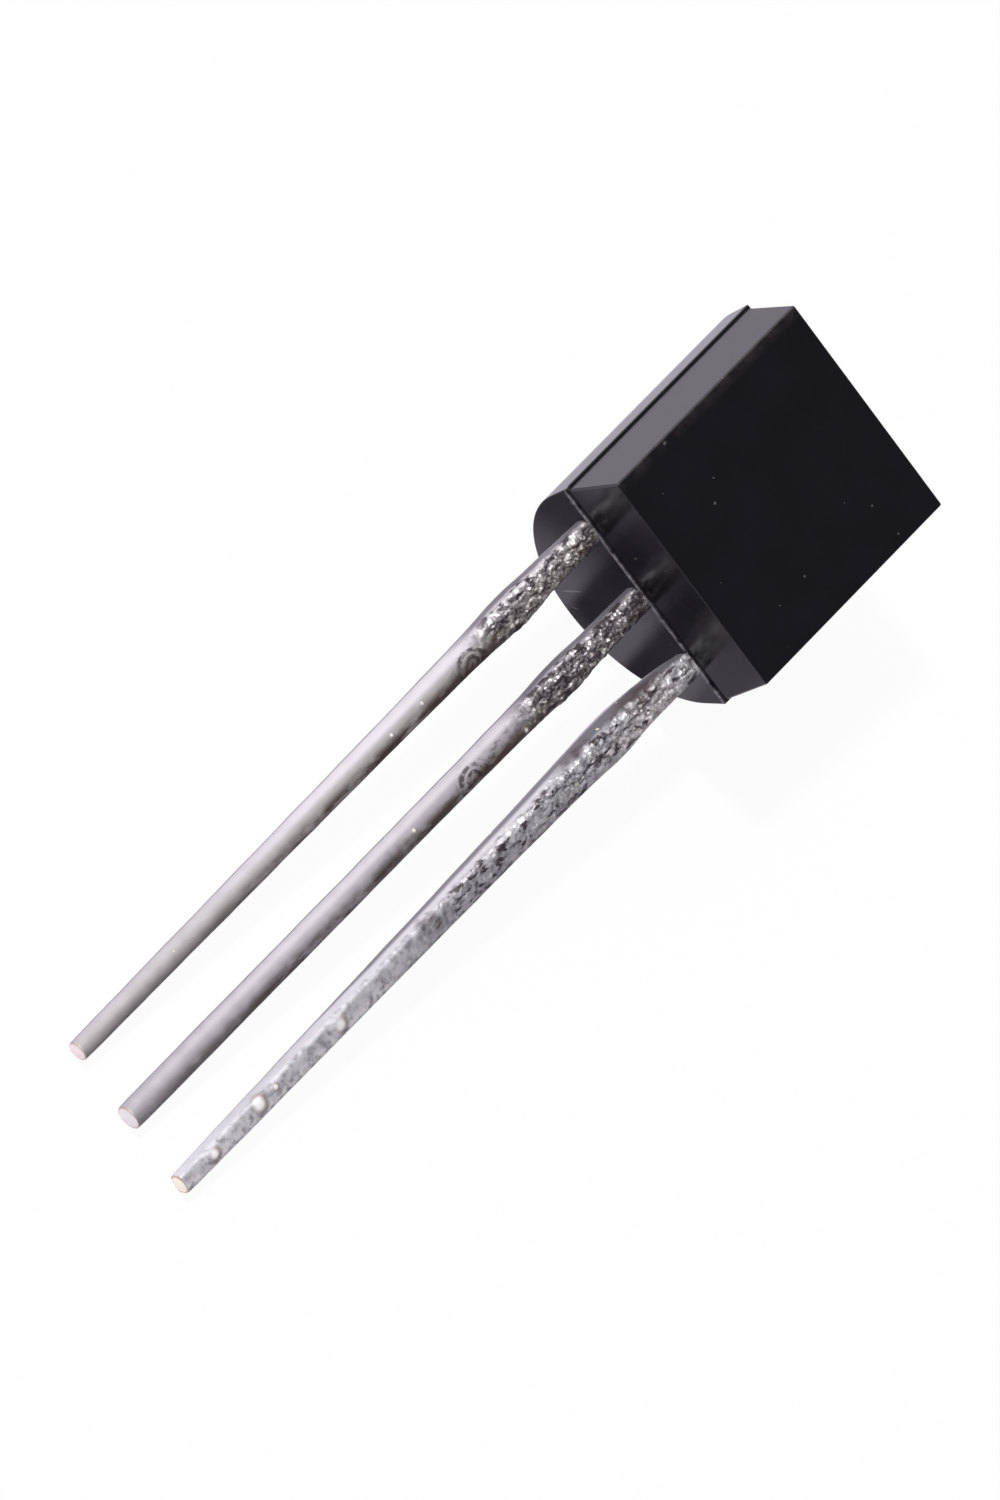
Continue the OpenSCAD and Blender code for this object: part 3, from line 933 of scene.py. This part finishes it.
# What the coats of one lead share: its axes in millimetres, and masks of its front and its pitted stretch
def readLead(tin, spec):
    place = uprightPlace(tin, spec["x"])
    axes = addNode(tin, "ShaderNodeSeparateXYZ", {0: place})
    square = addNode(tin, "ShaderNodeMapping",
                     {"Vector": place, "Rotation": (0, 0, -math.radians(spec["turn"]))})[0]
    deep = addNode(tin, "ShaderNodeSeparateXYZ", {0: square})["Y"]
    streaky = addNode(tin, "ShaderNodeMapping", {"Vector": place, "Scale": (1, 1, tinLook["streak"])})[0]
    clouds = addNode(tin, "ShaderNodeTexNoise", {"Vector": place, "Scale": 4, "Detail": 2})[0]

    ragged = addNode(tin, "ShaderNodeMath", {0: clouds, 1: -0.16, 2: deep}, operation="MULTIPLY_ADD")[0]
    out, full = tinLook["frontFade"]
    front = addNode(tin, "ShaderNodeMapRange", {"Value": ragged, "From Min": out, "From Max": full},
                    interpolation_type="SMOOTHSTEP")[0]
    out, full = [edge - spec["roughEnd"] for edge in tinLook["roughFade"]]
    rough = addNode(tin, "ShaderNodeMapRange", {"Value": axes["Z"], "From Min": out, "From Max": full},
                    interpolation_type="SMOOTHSTEP")[0]
    rough = addNode(tin, "ShaderNodeMath", {0: rough, 1: front}, operation="MULTIPLY")[0]
    pits = addNode(tin, "ShaderNodeTexNoise",
                   {"Vector": streaky, "Scale": 9, "Detail": 3, "Roughness": 0.62, "Distortion": 0.5})[0]
    pits = addNode(tin, "ShaderNodeMapRange",
                   {"Value": pits, "From Min": spec["flux"] - 0.06, "From Max": spec["flux"] + 0.08},
                   interpolation_type="SMOOTHSTEP")[0]
    pits = addNode(tin, "ShaderNodeMath", {0: pits, 1: rough}, operation="MULTIPLY")[0]
    out, full = tinLook["rightHalf"]
    right = addNode(tin, "ShaderNodeMapRange", {"Value": axes["X"], "From Min": out, "From Max": full},
                    interpolation_type="SMOOTHSTEP")[0]
    return {"place": place, "x": axes["X"], "z": axes["Z"], "deep": deep, "streaky": streaky,
            "clouds": clouds, "front": front, "rough": rough, "pits": pits, "right": right}


# Painted shade: the sides are painted dark some way behind the front, nearer to it on the root, and the back
# is left unpainted
def sideShadeMask(tin, spec, lead):
    out, full = tinLook["duskRise"]
    atTip, above = spec["dusk"]
    dusk = {"Value": lead["z"], "From Min": out, "From Max": full, "To Min": atTip, "To Max": above}
    dusk = addNode(tin, "ShaderNodeMapRange", dusk)[0]
    beyond = addNode(tin, "ShaderNodeMath", {0: lead["deep"], 1: dusk}, operation="SUBTRACT")[0]
    out, full = tinLook["sideFade"]
    side = addNode(tin, "ShaderNodeMapRange",
                   {"Value": beyond, "From Min": out, "From Max": full, "To Max": 0.8})[0]
    out, full = tinLook["rootFade"]
    root = addNode(tin, "ShaderNodeMapRange",
                   {"Value": lead["z"], "From Min": out, "From Max": full, "To Max": 0.85})[0]
    out, full = tinLook["flankFade"]
    flank = addNode(tin, "ShaderNodeMapRange", {"Value": lead["deep"], "From Min": out, "From Max": full})[0]
    flank = addNode(tin, "ShaderNodeMath", {0: flank, 1: root}, operation="MULTIPLY")[0]
    side = addNode(tin, "ShaderNodeMath", {0: flank, 1: side}, operation="MAXIMUM")[0]
    out, full = tinLook["backFade"]
    back = addNode(tin, "ShaderNodeMapRange", {"Value": beyond, "From Min": out, "From Max": full})[0]
    return addNode(tin, "ShaderNodeMath", {0: side, 1: back}, operation="MULTIPLY")[0]


# A coat is a mask from 0 to 1 and the colour that it lays over the tin; these are a painted highlight on the
# left, painted shade on the sides, and brown tarnish with painted shade on the right, all weaker toward the
# tip
def paintedLightAndTarnishCoats(tin, spec, lead):
    out, full = spec["fadeToTip"]
    fadeToTip = addNode(tin, "ShaderNodeMapRange",
                   {"Value": lead["z"], "From Min": out, "From Max": full, "To Min": 0.3})[0]
    # painted highlight: a pale band along the left of the lead
    left = {"Value": lead["x"], "From Min": spec["pale"] + 0.1, "From Max": spec["pale"], "To Max": 0.6}
    left = addNode(tin, "ShaderNodeMapRange", left, interpolation_type="SMOOTHSTEP")[0]
    left = addNode(tin, "ShaderNodeMath", {0: left, 1: fadeToTip}, operation="MULTIPLY")[0]
    # brown tarnish and painted shade, on the right half only
    tarnishAndShade = addNode(tin, "ShaderNodeTexNoise",
                      {"Vector": lead["streaky"], "Scale": 3.4, "Detail": 4, "Roughness": 0.65})[0]
    tarnishAndShade = addNode(tin, "ShaderNodeMapRange",
                      {"Value": tarnishAndShade, "From Min": 0.36, "From Max": 0.54, "To Max": spec["tarnishAndShade"]})[0]
    for mask in (lead["right"], fadeToTip):
        tarnishAndShade = addNode(tin, "ShaderNodeMath", {0: tarnishAndShade, 1: mask}, operation="MULTIPLY")[0]
    return [(left, tinLook["paintedHighlightBand"]), (sideShadeMask(tin, spec, lead), tinLook["side"]),
            (tarnishAndShade, tinLook["tarnishAndShade"])]


# Thin flux smeared over a flat front, down to the tip, and painted light that makes its right half brighter
# there
def smearCoats(tin, lead):
    smear = addNode(tin, "ShaderNodeTexNoise",
                    {"Vector": lead["place"], "Scale": 5, "Detail": 4, "Roughness": 0.6})[0]
    smear = addNode(tin, "ShaderNodeMapRange", {"Value": smear, "From Min": 0.42, "From Max": 0.6})[0]
    smear = addNode(tin, "ShaderNodeMath", {0: smear, 1: lead["front"]}, operation="MULTIPLY")[0]
    # painted light on the right half, near the tip
    out, full = tinLook["paintedLightFade"]
    paintedLight = addNode(tin, "ShaderNodeMapRange",
                     {"Value": lead["z"], "From Min": out, "From Max": full, "To Max": 0.8})[0]
    paintedLight = addNode(tin, "ShaderNodeMath", {0: paintedLight, 1: lead["right"]}, operation="MULTIPLY")[0]
    flecks = addNode(tin, "ShaderNodeTexNoise",
                     {"Vector": lead["place"], "Scale": 7, "Detail": 3, "Roughness": 0.6})[0]
    flecks = addNode(tin, "ShaderNodeMapRange",
                     {"Value": flecks, "From Min": 0.46, "From Max": 0.66, "To Max": 0.8})[0]
    flecks = addNode(tin, "ShaderNodeMath", {0: flecks, 1: lead["front"]}, operation="MULTIPLY")[0]
    return [(smear, tinLook["smear"]), (paintedLight, tinLook["paintedLight"]), (flecks, tinLook["fleck"])]


# The pitted stretch: painted highlight on the ridges, flux and painted shade in the creases, and flux left in
# the pits
def drossCoats(tin, lead):
    fold = addNode(tin, "ShaderNodeNewGeometry")["Pointiness"]
    # painted highlight where the surface folds out, flux and painted shade where it folds in
    ridgeHighlight = addNode(tin, "ShaderNodeMapRange",
                    {"Value": fold, "From Min": 0.53, "From Max": 0.64, "To Max": 0.8})[0]
    ridgeHighlight = addNode(tin, "ShaderNodeMath", {0: ridgeHighlight, 1: lead["rough"]}, operation="MULTIPLY")[0]
    creviceFluxAndShade = addNode(tin, "ShaderNodeMapRange", {"Value": fold, "From Min": 0.51, "From Max": 0.45})[0]
    creviceFluxAndShade = addNode(tin, "ShaderNodeMath", {0: creviceFluxAndShade, 1: lead["rough"]}, operation="MULTIPLY")[0]
    return [(ridgeHighlight, tinLook["ridgeHighlight"]), (creviceFluxAndShade, tinLook["creviceFluxAndShade"]), (lead["pits"], tinLook["pit"])]


# Brown stains with wandering edges, drawn out along the lead
def stainCoats(tin, spec, lead):
    sway = tinLook["stainSway"]
    wander = addNode(tin, "ShaderNodeTexNoise", {"Vector": lead["place"], "Scale": 5, "Detail": 2})["Color"]
    loose = addNode(tin, "ShaderNodeVectorMath", {0: wander, 1: (sway,) * 3, 2: lead["streaky"]},
                    operation="MULTIPLY_ADD")[0]
    coats = []
    for x, z, size in spec["stains"]:
        centre = (x + sway / 2, sway / 2, z * tinLook["streak"] + sway / 2)
        away = addNode(tin, "ShaderNodeVectorMath", {0: loose, 1: centre}, operation="DISTANCE")["Value"]
        stain = addNode(tin, "ShaderNodeMapRange",
                        {"Value": away, "From Min": size, "From Max": size * 0.3, "To Max": 0.8})[0]
        coats.append((stain, tinLook["stain"]))
    return coats


# Scuffed rings left by the test contacts
def scuffCoats(tin, spec, lead):
    squash = tinLook["scuffSquash"]
    coats = []
    for x, z, reach in spec["scuffs"]:
        centred = {"Vector": lead["place"], "Location": (-x, 0, -z * squash), "Scale": (1, 1, squash)}
        centred = addNode(tin, "ShaderNodeMapping", centred)[0]
        rings = {"Vector": centred, "Scale": 3.0, "Distortion": 4.0, "Detail": 2, "Detail Scale": 2.0}
        rings = addNode(tin, "ShaderNodeTexWave", rings, wave_type="RINGS", rings_direction="SPHERICAL")
        scuff = addNode(tin, "ShaderNodeMapRange",
                        {"Value": rings["Fac"], "From Min": 0.85, "From Max": 0.35, "To Max": 0.85})[0]
        away = addNode(tin, "ShaderNodeVectorMath", {0: centred}, operation="LENGTH")["Value"]
        inside = addNode(tin, "ShaderNodeMapRange",
                         {"Value": away, "From Min": reach, "From Max": reach - 0.06})[0]
        worn = addNode(tin, "ShaderNodeTexNoise",
                       {"Vector": lead["place"], "Scale": 7, "Detail": 3, "Roughness": 0.7})[0]
        worn = addNode(tin, "ShaderNodeMapRange", {"Value": worn, "From Min": 0.38, "From Max": 0.54})[0]
        for mask in (inside, worn):
            scuff = addNode(tin, "ShaderNodeMath", {0: scuff, 1: mask}, operation="MULTIPLY")[0]
        coats.append((scuff, tinLook["scuff"]))
    return coats


# One bead of tin: the flux in the crease above it, and a painted highlight on its crown
def beadMasks(tin, lead, x, z, width):
    crease = (x + width * 0.1, 0, z + width * 0.2)
    away = addNode(tin, "ShaderNodeVectorMath", {0: lead["place"], 1: crease}, operation="DISTANCE")["Value"]
    flux = addNode(tin, "ShaderNodeMapRange",
                   {"Value": away, "From Min": width * 0.75, "From Max": width * 0.5, "To Max": 0.6})[0]
    top = (x, -width * 0.15, z)
    away = addNode(tin, "ShaderNodeVectorMath", {0: lead["place"], 1: top}, operation="DISTANCE")["Value"]
    # painted highlight on the crown
    crownHighlight = addNode(tin, "ShaderNodeMapRange",
                    {"Value": away, "From Min": width * 0.52, "From Max": width * 0.25})[0]
    return flux, crownHighlight


# The sheared tip: a bright core in a rim of copper
def cutCoat(tin, spec, lead):
    tip = -upright["leadLength"]
    out, full = [tip + edge for edge in tinLook["cutFade"]]
    cut = addNode(tin, "ShaderNodeMapRange", {"Value": lead["z"], "From Min": out, "From Max": full})[0]
    centre = (spec["tipShift"], upright["leadThick"] / 2, tip)
    away = addNode(tin, "ShaderNodeVectorMath", {0: lead["place"], 1: centre}, operation="DISTANCE")["Value"]
    width = spec["tip"][0]
    core = addNode(tin, "ShaderNodeMapRange",
                   {"Value": away, "From Min": width * 0.46, "From Max": width * 0.36})[0]
    sheared = addNode(tin, "ShaderNodeMix", {0: core, 6: tinLook["copper"], 7: spec["cut"]},
                      data_type="RGBA")[2]
    return cut, sheared


# Stamped copper alloy, hot-dipped in tin: satin and nearly white where it is smooth. Next to the body,
# where the tie bars were cut and the tin piled up, it is pitted, with dark flux left in the pits.
# A dull film makes most of it less of a mirror; the sheared tip is clean metal, and the crowns of the beads
# are matte, painted near white as a highlight. Painted highlight and shade also lie along its sides, ridges
# and creases.
def makeTin(name, spec):
    tin = newMaterial("dip tinned copper " + name.split("_")[0])
    lead = readLead(tin, spec)
    coats = paintedLightAndTarnishCoats(tin, spec, lead)
    if not spec["round"][0]:    # only a flat front stays smeared to the tip
        coats += smearCoats(tin, lead)
    coats += drossCoats(tin, lead) + stainCoats(tin, spec, lead) + scuffCoats(tin, spec, lead)
    coats.append((dustMask(tin, lead["place"], *tinLook["dustGrains"]), tinLook["dust"]))

    onSides, onFront = spec["film"]
    film = addNode(tin, "ShaderNodeMapRange",
                   {"Value": lead["front"], "To Min": onSides, "To Max": onFront})[0]
    kept = addNode(tin, "ShaderNodeMapRange",
                   {"Value": lead["rough"], "To Min": 1.0, "To Max": spec["bare"]})[0]
    film = addNode(tin, "ShaderNodeMath", {0: film, 1: kept}, operation="MULTIPLY")[0]
    film = addNode(tin, "ShaderNodeMath", {0: lead["pits"], 1: 0.45, 2: film}, operation="MULTIPLY_ADD")[0]
    for bead in spec["beads"]:
        flux, crownHighlight = beadMasks(tin, lead, *bead)
        coats += [(flux, tinLook["beadFlux"]), (crownHighlight, tinLook["bead"])]
        film = addNode(tin, "ShaderNodeMath", {0: crownHighlight, 1: film}, operation="MAXIMUM")[0]
    cut, sheared = cutCoat(tin, spec, lead)
    coats.append((cut, sheared))
    film = addNode(tin, "ShaderNodeMath", {0: film, 1: cut}, operation="SUBTRACT", use_clamp=True)[0]
    metal = addNode(tin, "ShaderNodeMath", {0: 1.0, 1: film}, operation="SUBTRACT", use_clamp=True)[0]

    dark, light = spec["tin"]
    colour = addNode(tin, "ShaderNodeMix", {0: lead["clouds"], 6: dark, 7: light}, data_type="RGBA")[2]
    for share, coat in coats:
        colour = addNode(tin, "ShaderNodeMix", {0: share, 6: colour, 7: coat}, data_type="RGBA")[2]

    dull = addNode(tin, "ShaderNodeMapRange",
                   {"Value": lead["front"], "To Min": 0.5, "To Max": spec["satin"]})[0]
    dull = addNode(tin, "ShaderNodeMath", {0: lead["rough"], 1: -0.14, 2: dull}, operation="MULTIPLY_ADD")[0]
    grit = addNode(tin, "ShaderNodeTexNoise",
                   {"Vector": lead["streaky"], "Scale": 16, "Detail": 3, "Roughness": 0.6})[0]
    lift = addNode(tin, "ShaderNodeMapRange", {"Value": lead["rough"], "To Min": 0.15, "To Max": 1.0})[0]
    grit = addNode(tin, "ShaderNodeMath", {0: grit, 1: lift}, operation="MULTIPLY")[0]
    relief = addNode(tin, "ShaderNodeBump",
                     {"Strength": 0.6, "Distance": tinLook["gritDepth"] * millimetre, "Height": grit})[0]
    surface = addNode(tin, "ShaderNodeBsdfPrincipled",
                      {"Base Color": colour, "Metallic": metal, "Roughness": dull, "Normal": relief})
    addNode(tin, "ShaderNodeOutputMaterial", {"Surface": surface[0]})
    return tin


# Name, colour, metallic, roughness and grains per mm
hiddenFinishes = {
    "die_attach": ("soft solder", "#8f8f94", 1.0, 0.45, 6),
    "silicon_die": ("sawn silicon", "#4b4f5c", 0.9, 0.22, 20),
    "emitter_wire": ("drawn gold emitter", "#e6bd62", 1.0, 0.25, 25),
    "base_wire": ("drawn gold base", "#e6bd62", 1.0, 0.25, 25),
}


# Metals inside the resin: solder is grey and frosty, silicon dark and glassy, gold wire bright and smooth
def makeHidden(name, hexCode, metallic, roughness, perMillimetre):
    metal = newMaterial(name)
    place = uprightPlace(metal)
    grain = addNode(metal, "ShaderNodeTexNoise", {"Vector": place, "Scale": perMillimetre, "Detail": 3})[0]
    dull = addNode(metal, "ShaderNodeMapRange",
                   {"Value": grain, "To Min": roughness - 0.1, "To Max": roughness + 0.1})[0]
    colour = addNode(metal, "ShaderNodeMix", {0: grain, 6: hexCode, 7: "#ffffff"},
                     data_type="RGBA", blend_type="MULTIPLY")[2]
    surface = addNode(metal, "ShaderNodeBsdfPrincipled",
                      {"Base Color": colour, "Metallic": metallic, "Roughness": dull})
    addNode(metal, "ShaderNodeOutputMaterial", {"Surface": surface[0]})
    return metal


resin = makeResin()
shell.data.materials.clear()
shell.data.materials.append(resin)
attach(shell, "root")
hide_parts("moulded_body")
for name, piece in pieces.items():
    tin = makeTin(name, leads[name])
    piece.data.materials.clear()
    piece.data.materials.append(tin)
    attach(piece, "root")
    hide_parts(name)
for name, finish in hiddenFinishes.items():
    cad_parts[name].data.materials.clear()
    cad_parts[name].data.materials.append(makeHidden(*finish))
print("finishes laid on")
